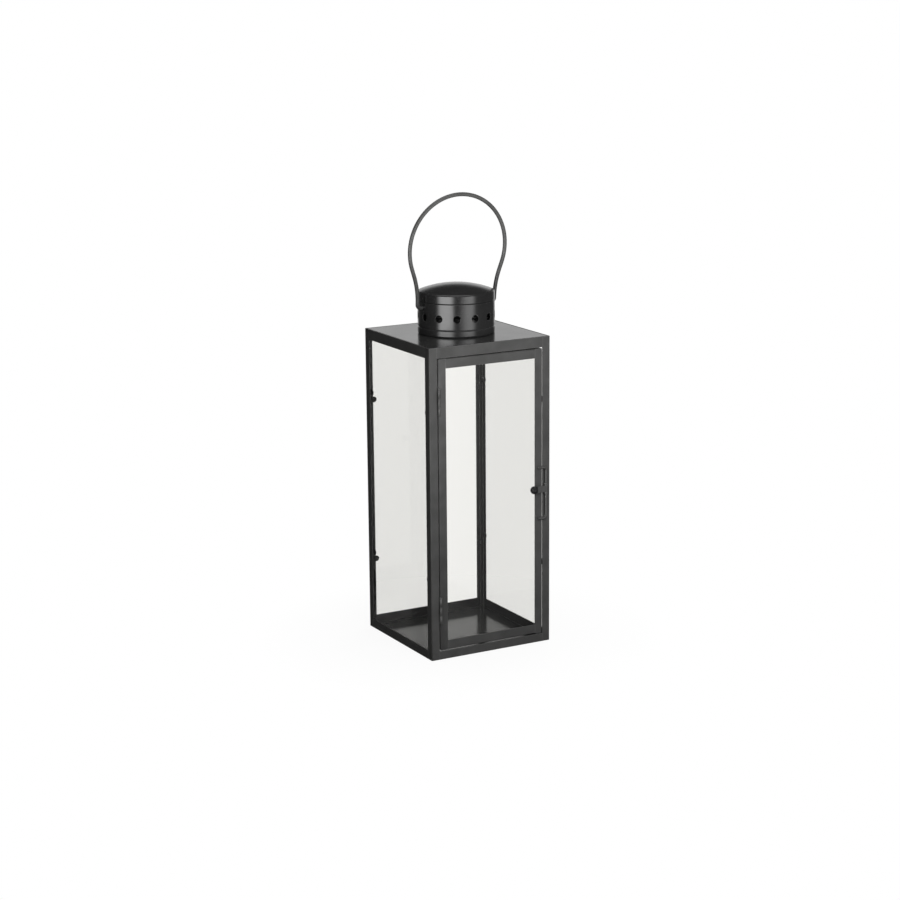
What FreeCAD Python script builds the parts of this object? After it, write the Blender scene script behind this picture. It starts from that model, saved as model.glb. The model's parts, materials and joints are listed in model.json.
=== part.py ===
import FreeCAD, Part
import math
import os

import Sketcher
from FreeCAD import Placement, Rotation, Vector

# Candle lantern: a square frame of folded steel with glass sides, a hinged glass door, a vented
# chimney on the roof and a wire handle. Millimetres. The origin is the middle of the base, +Z is up
# and the door is on the -Y side with its hinges at -X.

SIZES = [
    # Frame
    ("body_width", 130, "frame along X"),
    ("body_depth", 130, "frame along Y"),
    ("body_height", 300, "frame along Z"),
    ("gauge", 1.0, "thickness of the frame's steel"),
    ("fold_inside", 0.2, "inside radius of a fold"),
    ("post_leg", 8.2, "width of each leg of a corner post"),
    ("top_rail_tall", 10, "height of a top rail"),
    ("bottom_rail_tall", 8, "height of the bottom rail under the door"),
    ("left_rail_tall", 8.6, "height of the left bottom rail"),
    ("right_rail_tall", 9.9, "height of the right bottom rail"),
    ("back_rail_tall", 10.2, "height of the back bottom rail"),
    ("corner_relief", 0.7, "added to a fold's radius at the corners of the roof and the floor"),
    ("roof_lip", 5.5, "depth of the roof's turned-down edge"),
    ("roof_hole_radius", 30, "hole in the roof under the chimney"),
    # Glass and the tabs that hold it
    ("glass", 2.0, "thickness of every pane"),
    ("pane_overlap", 3.5, "pane behind a post's leg"),
    ("pane_headroom", 0.5, "gap above a pane"),
    ("clip_gauge", 0.6, "thickness of a clip"),
    ("clip_tall", 5.6, "height of a clip"),
    ("side_clip_show", 4.0, "clip of a side pane past the edge of the post's leg"),
    ("back_left_clip_show", 2.8, "left clip of the back pane past the edge of the post's leg"),
    ("back_right_clip_show", 1.3, "right clip of the back pane past the edge of the post's leg"),
    ("clip_clearance", 0.2, "clip to the pane's edge"),
    ("clip_corner_gap", 0.5, "clip's foot to the fold in the post"),
    ("side_clip_low", 77.5, "middle of the lower clips of the side panes"),
    ("side_clip_drop", 62, "middle of the upper clips of the side panes below the frame's rim"),
    ("back_clip_low", 69, "middle of the lower clips of the back pane"),
    ("back_clip_drop", 70.5, "middle of the upper clips of the back pane below the frame's rim"),
    # Door
    ("hinge_gap", 1.2, "door to the post at the hinges"),
    ("latch_gap", 0.28, "door to the post at the latch"),
    ("level_gap", 1.0, "door to the rails above and below"),
    ("stile_wide", 8.0, "face of a door stile"),
    ("door_rail_tall", 9.0, "face of a door rail"),
    ("door_depth", 5.5, "depth of the door frame's flange"),
    ("door_corner", 1.7, "outer corners of the door"),
    ("door_pane_clearance", 0.2, "door pane to the folds of its frame"),
    ("door_clip_low", 75, "middle of the lower clips of the door"),
    ("door_clip_drop", 77, "middle of the upper clips of the door below the frame's rim"),
    ("door_clip_inset", 1.0, "end of a door clip inside the stile's face"),
    # Hinges
    ("hinge_long", 25, "height of a hinge"),
    ("lower_hinge_inset", 27, "lower hinge above the door's foot"),
    ("upper_hinge_inset", 27.5, "upper hinge below the door's top"),
    ("hinge_stand", 1.7, "hinge axis in front of the door's face"),
    ("hinge_leaf", 0.5, "thickness of a hinge leaf"),
    ("hinge_leaf_reach", 5.0, "post leaf behind the post's leg"),
    ("knuckle_radius", 1.5, "outside of a hinge knuckle"),
    ("knuckle_gap", 0.2, "knuckle to knuckle"),
    ("hinge_pin_radius", 0.8, "hinge pin"),
    ("hinge_pin_head", 1.3, "head of the hinge pin"),
    ("hinge_pin_head_tall", 0.6, "height of the pin's head"),
    ("running_clearance", 0.05, "a pin to the hole that turns on it"),
    # Latch
    ("latch_wire_radius", 1.3, "wire of the latch staple"),
    ("latch_long", 50, "height of the staple between the middles of its legs, half-way up the door"),
    ("latch_overhang", 2.7, "staple past the door's edge"),
    ("latch_stand", 2.6, "staple's upright in front of the door's face"),
    ("latch_foot", 5.5, "end of the staple's legs inside the door's edge"),
    ("latch_bend", 3.0, "bend in the staple's wire"),
    ("lever_gauge", 0.8, "thickness of the lever's strip"),
    ("lever_tall", 10, "height of the lever's rolled eye"),
    ("lever_rise", 4.4, "middle of the lever above the middle of the staple"),
    ("lever_arm_tall", 6.0, "height of the lever's arm"),
    ("lever_arm_long", 10.5, "arm from the staple's upright"),
    ("lever_tongue_tall", 3.0, "tongue that holds the knob"),
    ("lever_reach", 14.2, "knob's middle from the staple's upright"),
    ("knob_radius", 3.8, "ball knob"),
    # Chimney
    ("chimney_radius", 36.8, "outside of the sleeve"),
    ("chimney_gauge", 0.8, "thickness of the sleeve and of the cap"),
    ("chimney_flange", 4.0, "turned-in foot of the sleeve"),
    ("foot_bend", 1.6, "outside of the bend at the sleeve's foot"),
    ("seam_rise", 32.2, "lower edge of the cap above the roof"),
    ("band_tall", 7.0, "plain band below the rolled groove"),
    ("groove_deep", 0.5, "depth of the rolled groove"),
    ("groove_half", 0.8, "half the groove's height"),
    ("neck_gap", 0.3, "neck of the sleeve below the bend inside the cap"),
    ("cap_clearance", 0.05, "neck to the cap's skirt"),
    ("vent_radius", 3.75, "vent hole"),
    ("vent_rise", 17.9, "middle of the vents above the roof"),
    ("vent_count", 13, "vents round the sleeve"),
    ("skirt_tall", 7.0, "straight height of the cap's skirt"),
    ("skirt_edge", 0.5, "rounding of the skirt's lower edge"),
    ("cap_shoulder", 1.6, "radius between skirt and dome"),
    ("dome_radius", 98.5, "round of the dome"),
    # Handle
    ("handle_wire_radius", 1.9, "wire of the handle"),
    ("handle_hole_clearance", 0.08, "handle to its holes in the sleeve"),
    ("handle_rise", 26.5, "handle's pivot above the roof"),
    ("hook_inside", 5.0, "hooked end inside the sleeve's outside"),
    ("hook_bend", 3.2, "bend of the hooked end"),
    ("handle_side_gap", 4.9, "handle's legs outside the sleeve"),
    ("leg_rise", 4.5, "straight leg above the pivot"),
    ("leg_bend", 81, "slow bend above the straight leg"),
    ("splay_long", 7.4, "straight between that bend and the handle's round top"),
    ("loop_radius", 51.3, "handle's round top"),
    ("handle_lean_angle", 4.5, "degrees that the resting handle leans over the door"),
]

X_AXIS = Vector(1, 0, 0)
Y_AXIS = Vector(0, 1, 0)
Z_AXIS = Vector(0, 0, 1)

doc = FreeCAD.newDocument("candle_lantern")
sheet = doc.addObject("Spreadsheet::Sheet", "Sizes")
for row, (alias, value, words) in enumerate(SIZES, start=1):
    sheet.set(f"A{row}", words)
    sheet.set(f"B{row}", str(value))
    sheet.setAlias(f"B{row}", alias)
doc.recompute()

nodes = {}

# Places that several pieces share, as expressions of the sheet's cells
HALF_WIDTH = "(Sizes.body_width / 2)"
HALF_DEPTH = "(Sizes.body_depth / 2)"
FOLD_OUTSIDE = "(Sizes.fold_inside + Sizes.gauge)"
FLOOR_TOP = "Sizes.gauge"
SHEET_CORNER = "(Sizes.fold_inside + Sizes.corner_relief)"
ROOF_TOP = "Sizes.body_height"
PANE_TALL = f"({ROOF_TOP} - Sizes.roof_lip - Sizes.pane_headroom - {FLOOR_TOP})"
DOOR_LEFT = f"(-{HALF_WIDTH} + Sizes.post_leg + Sizes.hinge_gap)"
DOOR_RIGHT = f"({HALF_WIDTH} - Sizes.post_leg - Sizes.latch_gap)"
DOOR_LOW = "(Sizes.bottom_rail_tall + Sizes.level_gap)"
DOOR_HIGH = "(Sizes.body_height - Sizes.top_rail_tall - Sizes.level_gap)"
DOOR_RAIL_LONG = f"({DOOR_RIGHT} - {DOOR_LEFT} - 2 * Sizes.stile_wide)"
DOOR_PANE_INSET = "(Sizes.gauge + Sizes.fold_inside + Sizes.door_pane_clearance)"
LATCH_X = f"({DOOR_RIGHT} + Sizes.latch_overhang)"
LATCH_Y = f"(-{HALF_DEPTH} - Sizes.latch_stand)"
LATCH_MIDDLE = f"(({DOOR_LOW} + {DOOR_HIGH}) / 2)"
LEVER_MIDDLE = f"({LATCH_MIDDLE} + Sizes.lever_rise)"
HANDLE_Z = f"({ROOF_TOP} + Sizes.handle_rise)"


def number(expression):
    """Value of an expression of the sheet's cells."""
    return float(sheet.evalExpression(expression))


def bind(thing, **expressions):
    """Tie properties to expressions; two underscores stand for a dot."""
    for name, expression in expressions.items():
        thing.setExpression(name.replace("__", "."), expression)


def place(thing, x="0", y="0", z="0", x_dir=X_AXIS, y_dir=Y_AXIS):
    """Turn a piece so that its own X and Y run along x_dir and y_dir, and tie its origin."""
    thing.Placement = Placement(Vector(), Rotation(x_dir, y_dir, x_dir.cross(y_dir), "XYZ"))
    bind(thing, Placement__Base__x=x, Placement__Base__y=y, Placement__Base__z=z)


def keep(thing, label):
    """Record a finished sub-part under the name of its file."""
    thing.Label = label
    nodes[label] = thing
    return thing


def new_body(label):
    return doc.addObject("PartDesign::Body", label + "_body")


def origin_plane(body, role):
    return next(item for item in body.Origin.OriginFeatures if item.Role == role)


def new_sketch(body, name, role="XY_Plane"):
    sketch = body.newObject("Sketcher::SketchObject", name)
    sketch.AttachmentSupport = [(origin_plane(body, role), "")]
    sketch.MapMode = "FlatFace"
    return sketch


def arc_between(start, end, radius, turn):
    """Arc of less than half a circle from start to end that turns left or right."""
    chord = end - start
    side = Vector(-chord.y, chord.x, 0).normalize() * (1 if turn == "left" else -1)
    middle = (start + end) / 2
    centre = middle + side * math.sqrt(radius ** 2 - (chord.Length / 2) ** 2)
    first, last = (start, end) if turn == "left" else (end, start)
    angles = [math.atan2(point.y - centre.y, point.x - centre.x) for point in (first, last)]
    return Part.ArcOfCircle(Part.Circle(centre, Z_AXIS, radius), *angles)


def draw(sketch, corners, closed=True):
    """Draw an outline whose corners are (x, y), or (x, y, radius, turn) before a round stretch."""
    points = [Vector(number(corner[0]), number(corner[1]), 0) for corner in corners]
    edge_count = len(corners) if closed else len(corners) - 1
    ends = []
    for index in range(edge_count):
        corner = corners[index]
        start = points[index]
        end = points[(index + 1) % len(points)]
        if len(corner) == 2:
            edge = sketch.addGeometry(Part.LineSegment(start, end))
            ends.append((edge, 1, 2))
            continue
        radius, turn = corner[2:]
        edge = sketch.addGeometry(arc_between(start, end, number(radius), turn))
        ends.append((edge, 1, 2) if turn == "left" else (edge, 2, 1))
        tie(sketch, radius, "Radius", edge)
    for index in range(edge_count if closed else edge_count - 1):
        edge, _, last = ends[index]
        following, first, _ = ends[(index + 1) % edge_count]
        sketch.addConstraint(Sketcher.Constraint("Coincident", edge, last, following, first))
    for corner, (edge, first, _) in zip(corners, ends):
        pin_point(sketch, edge, first, corner[0], corner[1])
    if not closed:
        pin_point(sketch, ends[-1][0], ends[-1][2], corners[-1][0], corners[-1][1])


def tie(sketch, expression, kind, *where):
    """Add a constraint whose size is an expression."""
    constraint = sketch.addConstraint(Sketcher.Constraint(kind, *where, number(expression)))
    sketch.setExpression(f"Constraints[{constraint}]", expression)


def pin_point(sketch, edge, end, x, y):
    """Tie one end of an edge to its distances from the sketch's origin."""
    tie(sketch, x, "DistanceX", -1, 1, edge, end)
    tie(sketch, y, "DistanceY", -1, 1, edge, end)


def draw_circle(sketch, radius, x="0", y="0"):
    centre = Vector(number(x), number(y), 0)
    circle = sketch.addGeometry(Part.Circle(centre, Z_AXIS, number(radius)))
    tie(sketch, radius, "Radius", circle)
    pin_point(sketch, circle, 3, x, y)


def rectangle(x_low, y_low, x_high, y_high):
    return [(x_low, y_low), (x_high, y_low), (x_high, y_high), (x_low, y_high)]


def add_pad(body, sketch, length, midplane=False):
    pad = body.newObject("PartDesign::Pad", sketch.Name + "_pad")
    pad.Profile = sketch
    pad.SideType = "Symmetric" if midplane else "One side"
    bind(pad, Length=length)
    body.Tip = pad
    return pad


def add_pocket(body, sketch, depth, reverse=False, midplane=False):
    """Cut a sketch's outline into the body, and make sure that it cuts."""
    doc.recompute()
    before = body.Shape.Volume
    pocket = body.newObject("PartDesign::Pocket", sketch.Name + "_pocket")
    pocket.Profile = sketch
    pocket.SideType = "Symmetric" if midplane else "One side"
    pocket.Reversed = reverse
    bind(pocket, Length=depth)
    body.Tip = pocket
    doc.recompute()
    if body.Shape.Volume > before - 1e-3:
        raise RuntimeError(f"{sketch.Name} cuts nothing")
    return pocket


def add_revolution(body, sketch):
    """Turn an outline all the way round its sketch's upright axis."""
    turned = body.newObject("PartDesign::Revolution", sketch.Name + "_turned")
    turned.Profile = sketch
    turned.ReferenceAxis = (sketch, ["V_Axis"])
    turned.Angle = 360
    body.Tip = turned
    return turned


def add_fillet(body, base, edge_wanted, radius):
    """Round the edges of a feature that edge_wanted picks."""
    doc.recompute()
    edges = base.Shape.Edges
    names = [f"Edge{index}" for index, edge in enumerate(edges, start=1) if edge_wanted(edge)]
    fillet = body.newObject("PartDesign::Fillet", base.Name + "_round")
    fillet.Base = (base, names)
    bind(fillet, Radius=radius)
    body.Tip = fillet
    return fillet


def runs_along(edge, direction):
    """True for a straight edge that lies along a direction."""
    chord = edge.Vertexes[-1].Point - edge.Vertexes[0].Point
    return edge.Curve.TypeId == "Part::GeomLine" and chord.cross(direction).Length < 1e-6


# Frame

def angle_section(leg_x, leg_y):
    """Folded angle with its outer corner at the origin and its legs along X and Y."""
    return [
        ("0", leg_y),
        ("0", FOLD_OUTSIDE, FOLD_OUTSIDE, "left"),
        (FOLD_OUTSIDE, "0"),
        (leg_x, "0"),
        (leg_x, "Sizes.gauge"),
        (FOLD_OUTSIDE, "Sizes.gauge", "Sizes.fold_inside", "right"),
        ("Sizes.gauge", FOLD_OUTSIDE),
        ("Sizes.gauge", leg_y),
    ]


def make_bar(label, section, length, **placing):
    """A straight bar of one section; its length runs along the piece's own Z."""
    body = new_body(label)
    sketch = new_sketch(body, label + "_section")
    draw(sketch, section)
    add_pad(body, sketch, length)
    place(body, **placing)
    return keep(body, label)


def make_posts():
    section = angle_section("Sizes.post_leg", "Sizes.post_leg")
    for depth_name, depth_sign in (("front", -1), ("back", 1)):
        for width_name, width_sign in (("left", -1), ("right", 1)):
            inward_x = X_AXIS * -width_sign
            inward_y = Y_AXIS * -depth_sign
            upright = inward_x.cross(inward_y).z > 0
            make_bar(
                f"{depth_name}_{width_name}_post", section, "Sizes.body_height",
                x=f"{width_sign} * {HALF_WIDTH}", y=f"{depth_sign} * {HALF_DEPTH}",
                x_dir=inward_x if upright else inward_y,
                y_dir=inward_y if upright else inward_x,
            )


# Each side of the frame: its name, the direction into the lantern, how far its outer face is from
# the middle, and half its length
SIDES = [
    ("front", Y_AXIS, HALF_DEPTH, HALF_WIDTH),
    ("back", -Y_AXIS, HALF_DEPTH, HALF_WIDTH),
    ("left", X_AXIS, HALF_WIDTH, HALF_DEPTH),
    ("right", -X_AXIS, HALF_WIDTH, HALF_DEPTH),
]
BOTTOM_RAILS = {
    "front": "Sizes.bottom_rail_tall",
    "back": "Sizes.back_rail_tall",
    "left": "Sizes.left_rail_tall",
    "right": "Sizes.right_rail_tall",
}


def make_rails():
    """Flat strips between the posts, flush with their outer faces."""
    top_strip = rectangle("0", "0", "Sizes.top_rail_tall", "Sizes.gauge")
    for name, inward, face, half in SIDES:
        bottom_strip = rectangle("0", "0", BOTTOM_RAILS[name], "Sizes.gauge")
        along = Z_AXIS.cross(inward)
        start = f"({half} - Sizes.post_leg)"
        length = f"2 * {start}"
        x = f"{-inward.x} * {face} + {-along.x} * {start}"
        y = f"{-inward.y} * {face} + {-along.y} * {start}"
        make_bar(f"{name}_top_rail", top_strip, length, x=x, y=y, x_dir=Z_AXIS, y_dir=inward,
                 z="Sizes.body_height - Sizes.top_rail_tall")
        make_bar(f"{name}_bottom_rail", bottom_strip, length, x=x, y=y, x_dir=Z_AXIS, y_dir=inward)


def make_roof_pan():
    """Roof sheet with turned-down edges, inside the top rails and level with them."""
    half_x = f"({HALF_WIDTH} - Sizes.gauge)"
    half_y = f"({HALF_DEPTH} - Sizes.gauge)"
    inner_x = f"({half_x} - Sizes.gauge)"
    inner_y = f"({half_y} - Sizes.gauge)"
    body = new_body("roof_pan")
    outside = new_sketch(body, "roof_outside")
    draw(outside, rectangle(f"-{half_x}", f"-{half_y}", half_x, half_y))
    block = add_pad(body, outside, "Sizes.roof_lip")

    def rim_edge(edge):
        return runs_along(edge, Z_AXIS) or edge.BoundBox.ZMin > number("Sizes.roof_lip") / 2

    add_fillet(body, block, rim_edge, SHEET_CORNER)
    inside = new_sketch(body, "roof_inside")
    draw(inside, rectangle(f"-{inner_x}", f"-{inner_y}", inner_x, inner_y))
    add_pocket(body, inside, "Sizes.roof_lip - Sizes.gauge", reverse=True)
    hole = new_sketch(body, "roof_hole")
    draw_circle(hole, "Sizes.roof_hole_radius")
    add_pocket(body, hole, "Sizes.roof_lip", reverse=True)
    place(body, z=f"{ROOF_TOP} - Sizes.roof_lip")
    keep(body, "roof_pan")


def make_floor_plate():
    """Floor sheet inside the bottom rails, level with their lower edges."""
    half_x = f"({HALF_WIDTH} - Sizes.gauge)"
    half_y = f"({HALF_DEPTH} - Sizes.gauge)"
    body = new_body("floor_plate")
    outline = new_sketch(body, "floor_outline")
    draw(outline, rectangle(f"-{half_x}", f"-{half_y}", half_x, half_y))
    sheet_pad = add_pad(body, outline, "Sizes.gauge")
    add_fillet(body, sheet_pad, lambda edge: runs_along(edge, Z_AXIS), SHEET_CORNER)
    place(body)
    keep(body, "floor_plate")


# Glass

def make_pane(label, length, width, height, x, y, z):
    pane = doc.addObject("Part::Box", label + "_glass")
    bind(pane, Length=length, Width=width, Height=height)
    place(pane, x, y, z)
    keep(pane, label)


def make_fixed_panes():
    half_x = f"({HALF_WIDTH} - Sizes.post_leg + Sizes.pane_overlap)"
    half_y = f"({HALF_DEPTH} - Sizes.post_leg + Sizes.pane_overlap)"
    outer_x = f"({HALF_WIDTH} - Sizes.gauge)"
    outer_y = f"({HALF_DEPTH} - Sizes.gauge)"
    make_pane("left_pane", "Sizes.glass", f"2 * {half_y}", PANE_TALL,
              f"-{outer_x}", f"-{half_y}", FLOOR_TOP)
    make_pane("right_pane", "Sizes.glass", f"2 * {half_y}", PANE_TALL,
              f"{outer_x} - Sizes.glass", f"-{half_y}", FLOOR_TOP)
    make_pane("back_pane", f"2 * {half_x}", "Sizes.glass", PANE_TALL,
              f"-{half_x}", f"{outer_y} - Sizes.glass", FLOOR_TOP)


def make_clip(name, section, tip, **placing):
    """A bent tab: its section lies flat, and its free end at X = tip is rounded."""
    body = new_body(name)
    sketch = new_sketch(body, name + "_section")
    draw(sketch, section)
    pad = add_pad(body, sketch, "Sizes.clip_tall", midplane=True)

    def tip_edge(edge):
        return runs_along(edge, Y_AXIS) and abs(edge.BoundBox.XMin - number(tip)) < 1e-6

    add_fillet(body, pad, tip_edge, "0.49 * Sizes.clip_tall")
    place(body, **placing)
    return body


def make_clip_group(label, heights, ends):
    """Clips at two heights on both sides of a pane, kept as one group of separate pieces.

    ends gives the section, the tip and the x, y, x_dir and y_dir of the clip at each side.
    """
    clips = []
    for height_name, height in heights:
        for end_name, section, tip, placing in ends:
            clips.append(make_clip(f"{label}_{height_name}_{end_name}", section, tip, z=height, **placing))
    group = doc.addObject("Part::Compound", label + "_group")
    group.Links = clips
    keep(group, label)


def fixed_clip_section(tip):
    """Z-shaped tab: the foot on the post's leg, the tip over the pane's inner face.

    In a clip's own frame X = 0 is the pane's edge, +X runs into the post's corner and Y = 0 is the
    inner face of the post's leg.
    """
    near = "Sizes.clip_clearance"
    far = "(Sizes.clip_clearance + Sizes.clip_gauge)"
    over = "(Sizes.glass + Sizes.clip_gauge)"
    foot = ("(Sizes.post_leg - Sizes.pane_overlap - Sizes.gauge"
            " - Sizes.fold_inside - Sizes.clip_corner_gap)")
    return [
        (near, "0"), (foot, "0"), (foot, "Sizes.clip_gauge"), (far, "Sizes.clip_gauge"),
        (far, over), (tip, over), (tip, "Sizes.glass"), (near, "Sizes.glass"),
    ]


def make_fixed_pane_clips():
    side_shows = ["Sizes.side_clip_show", "Sizes.side_clip_show"]
    back_shows = ["Sizes.back_left_clip_show", "Sizes.back_right_clip_show"]
    side_heights = [("low", "Sizes.side_clip_low"), ("high", "Sizes.body_height - Sizes.side_clip_drop")]
    back_heights = [("low", "Sizes.back_clip_low"), ("high", "Sizes.body_height - Sizes.back_clip_drop")]
    for name, inward, face, half in SIDES:
        if name == "front":
            continue
        across = Vector(abs(inward.y), abs(inward.x), 0)
        reach = f"({half} - Sizes.post_leg + Sizes.pane_overlap)"
        plane = f"({face} - Sizes.gauge)"
        shows = back_shows if name == "back" else side_shows
        ends = []
        for end_name, sign, show in zip(("first", "second"), (-1, 1), shows):
            outward = across * sign
            tip = f"-(Sizes.pane_overlap + {show})"
            ends.append((end_name, fixed_clip_section(tip), tip, {
                "x": f"{-inward.x} * {plane} + {outward.x} * {reach}",
                "y": f"{-inward.y} * {plane} + {outward.y} * {reach}",
                "x_dir": outward,
                "y_dir": inward,
            }))
        heights = back_heights if name == "back" else side_heights
        make_clip_group(f"{name}_pane_clips", heights, ends)


# Door

def make_door_frame():
    """Two stiles of full height with the rails between them; the flanges point inwards."""
    front = f"-{HALF_DEPTH}"
    door_tall = f"({DOOR_HIGH} - {DOOR_LOW})"
    rail = angle_section("Sizes.door_rail_tall", "Sizes.door_depth")
    hinge_stile = make_bar(
        "door_hinge_stile", angle_section("Sizes.stile_wide", "Sizes.door_depth"), door_tall,
        x=DOOR_LEFT, y=front, z=DOOR_LOW)
    round_stile_ends(hinge_stile, "XZ_Plane", door_tall)
    latch_stile = make_bar(
        "door_latch_stile", angle_section("Sizes.door_depth", "Sizes.stile_wide"), door_tall,
        x=DOOR_RIGHT, y=front, z=DOOR_LOW, x_dir=Y_AXIS, y_dir=-X_AXIS)
    round_stile_ends(latch_stile, "YZ_Plane", door_tall)
    top_rail = make_bar("door_top_rail", rail, DOOR_RAIL_LONG,
                        x=f"{DOOR_LEFT} + Sizes.stile_wide", y=front, z=DOOR_HIGH, x_dir=-Z_AXIS)
    bottom_rail = make_bar("door_bottom_rail", rail, DOOR_RAIL_LONG,
                           x=f"{DOOR_RIGHT} - Sizes.stile_wide", y=front, z=DOOR_LOW, x_dir=Z_AXIS)
    for door_rail in (top_rail, bottom_rail):
        add_rail_ears(door_rail)


def add_rail_ears(rail):
    """Carry a door rail's flange on behind the stiles' faces, up to their own flanges."""
    ear_long = "(Sizes.stile_wide - Sizes.gauge)"
    ears = new_sketch(rail, rail.Label + "_ears")
    draw(ears, rectangle("0", FOLD_OUTSIDE, "Sizes.gauge", "Sizes.door_depth"))
    ears.AttachmentOffset = Placement()
    bind(ears, AttachmentOffset__Base__z=f"-{ear_long}")
    add_pad(rail, ears, f"{DOOR_RAIL_LONG} + 2 * {ear_long}")


def round_stile_ends(stile, face_plane, length):
    """Round the stile's two outer corners, seen on the door's face."""
    radius = "Sizes.door_corner"
    corners = {
        "low": [("0", "0"), (radius, "0", radius, "right"), ("0", radius)],
        "high": [("0", length), ("0", f"{length} - {radius}", radius, "right"), (radius, length)],
    }
    for name, outline in corners.items():
        sketch = new_sketch(stile, f"{stile.Label}_{name}_corner", face_plane)
        draw(sketch, outline)
        add_pocket(stile, sketch, "4 * Sizes.door_depth", midplane=True)


def make_door_pane():
    low = f"({DOOR_LOW} + Sizes.gauge + Sizes.fold_inside)"
    high = f"({DOOR_HIGH} - Sizes.gauge - Sizes.pane_headroom)"
    make_pane("door_pane", f"{DOOR_RIGHT} - {DOOR_LEFT} - 2 * {DOOR_PANE_INSET}", "Sizes.glass",
              f"{high} - {low}", f"{DOOR_LEFT} + {DOOR_PANE_INSET}", f"-{HALF_DEPTH} + Sizes.gauge", low)


def make_door_clips():
    """L-shaped tabs: the foot on the stile's flange, the tip over the pane's inner face.

    In a clip's own frame X = 0 is the flange's inner face, -X runs over the pane and Y = 0 is the
    pane's inner face.
    """
    tip = "-(Sizes.stile_wide - Sizes.gauge - Sizes.door_clip_inset)"
    foot = "(Sizes.door_depth - Sizes.gauge - Sizes.glass)"
    section = [
        (tip, "0"), ("0", "0"), ("0", foot), ("-Sizes.clip_gauge", foot),
        ("-Sizes.clip_gauge", "Sizes.clip_gauge"), (tip, "Sizes.clip_gauge"),
    ]
    y = f"-{HALF_DEPTH} + Sizes.gauge + Sizes.glass"
    hinge_side = {"x": f"{DOOR_LEFT} + Sizes.gauge", "y": y, "x_dir": -X_AXIS, "y_dir": Y_AXIS}
    latch_side = {"x": f"{DOOR_RIGHT} - Sizes.gauge", "y": y, "x_dir": X_AXIS, "y_dir": Y_AXIS}
    ends = [("hinge_side", section, tip, hinge_side), ("latch_side", section, tip, latch_side)]
    heights = [("low", "Sizes.door_clip_low"), ("high", "Sizes.body_height - Sizes.door_clip_drop")]
    make_clip_group("door_pane_clips", heights, ends)


# Hinges

KNUCKLE_TALL = "((Sizes.hinge_long - 2 * Sizes.knuckle_gap) / 3)"
HINGE_HOLE = "(Sizes.hinge_pin_radius + Sizes.running_clearance)"


def make_hinge(name, foot):
    """A small butt hinge whose axis stands in front of the gap, at the door's edge.

    The post leaf has the upper and lower knuckle and folds behind the post's leg. The door leaf has
    the middle knuckle and lies along the outer side of the stile's flange.
    """
    axis = {"x": DOOR_LEFT, "y": f"-{HALF_DEPTH} - Sizes.hinge_stand"}

    post_edge = "-Sizes.hinge_gap"
    tab_side = f"({post_edge} + Sizes.hinge_leaf)"
    leg_back = "(Sizes.hinge_stand + Sizes.gauge)"
    leaf_back = f"({leg_back} + Sizes.hinge_leaf)"
    leaf_end = f"({post_edge} - Sizes.hinge_leaf_reach)"
    label = f"{name}_hinge_post_leaf"
    body = new_body(label)
    leaf = new_sketch(body, label + "_strip")
    draw(leaf, [(post_edge, "0"), (tab_side, "0"), (tab_side, leaf_back),
                (leaf_end, leaf_back), (leaf_end, leg_back), (post_edge, leg_back)])
    add_pad(body, leaf, "Sizes.hinge_long")
    knuckle = new_sketch(body, label + "_knuckle")
    draw_circle(knuckle, "Sizes.knuckle_radius")
    add_pad(body, knuckle, "Sizes.hinge_long")
    hole = new_sketch(body, label + "_hole")
    draw_circle(hole, HINGE_HOLE)
    add_pocket(body, hole, "Sizes.hinge_long", reverse=True)
    middle = new_sketch(body, label + "_middle")
    draw(middle, rectangle("-2 * Sizes.knuckle_radius", "-2 * Sizes.knuckle_radius",
                           "2 * Sizes.knuckle_radius", leg_back))
    middle.AttachmentOffset = Placement()
    bind(middle, AttachmentOffset__Base__z=KNUCKLE_TALL)
    add_pocket(body, middle, f"{KNUCKLE_TALL} + 2 * Sizes.knuckle_gap", reverse=True)
    place(body, z=foot, **axis)
    keep(body, label)

    label = f"{name}_hinge_door_leaf"
    body = new_body(label)
    leaf = new_sketch(body, label + "_strip")
    draw(leaf, rectangle("-Sizes.hinge_leaf", "0", "0", "Sizes.hinge_stand + Sizes.door_depth"))
    add_pad(body, leaf, KNUCKLE_TALL)
    knuckle = new_sketch(body, label + "_knuckle")
    draw_circle(knuckle, "Sizes.knuckle_radius")
    add_pad(body, knuckle, KNUCKLE_TALL)
    hole = new_sketch(body, label + "_hole")
    draw_circle(hole, HINGE_HOLE)
    add_pocket(body, hole, KNUCKLE_TALL, reverse=True)
    place(body, z=f"{foot} + {KNUCKLE_TALL} + Sizes.knuckle_gap", **axis)
    keep(body, label)

    label = f"{name}_hinge_pin"
    body = new_body(label)
    outline = new_sketch(body, label + "_outline", "XZ_Plane")
    head_top = "(Sizes.hinge_long + Sizes.hinge_pin_head_tall)"
    draw(outline, [("0", "0"), ("Sizes.hinge_pin_radius", "0"),
                   ("Sizes.hinge_pin_radius", "Sizes.hinge_long"),
                   ("Sizes.hinge_pin_head", "Sizes.hinge_long"),
                   ("Sizes.hinge_pin_head", head_top), ("0", head_top)])
    add_revolution(body, outline)
    place(body, z=foot, **axis)
    keep(body, label)


# Latch

def add_pipe(body, profile, path):
    """Run a round profile along every edge of a path."""
    pipe = body.newObject("PartDesign::AdditivePipe", path.Name + "_wire")
    pipe.Profile = profile
    doc.recompute()
    pipe.Spine = (path, [f"Edge{index}" for index in range(1, len(path.Shape.Edges) + 1)])
    body.Tip = pipe
    return pipe


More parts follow.
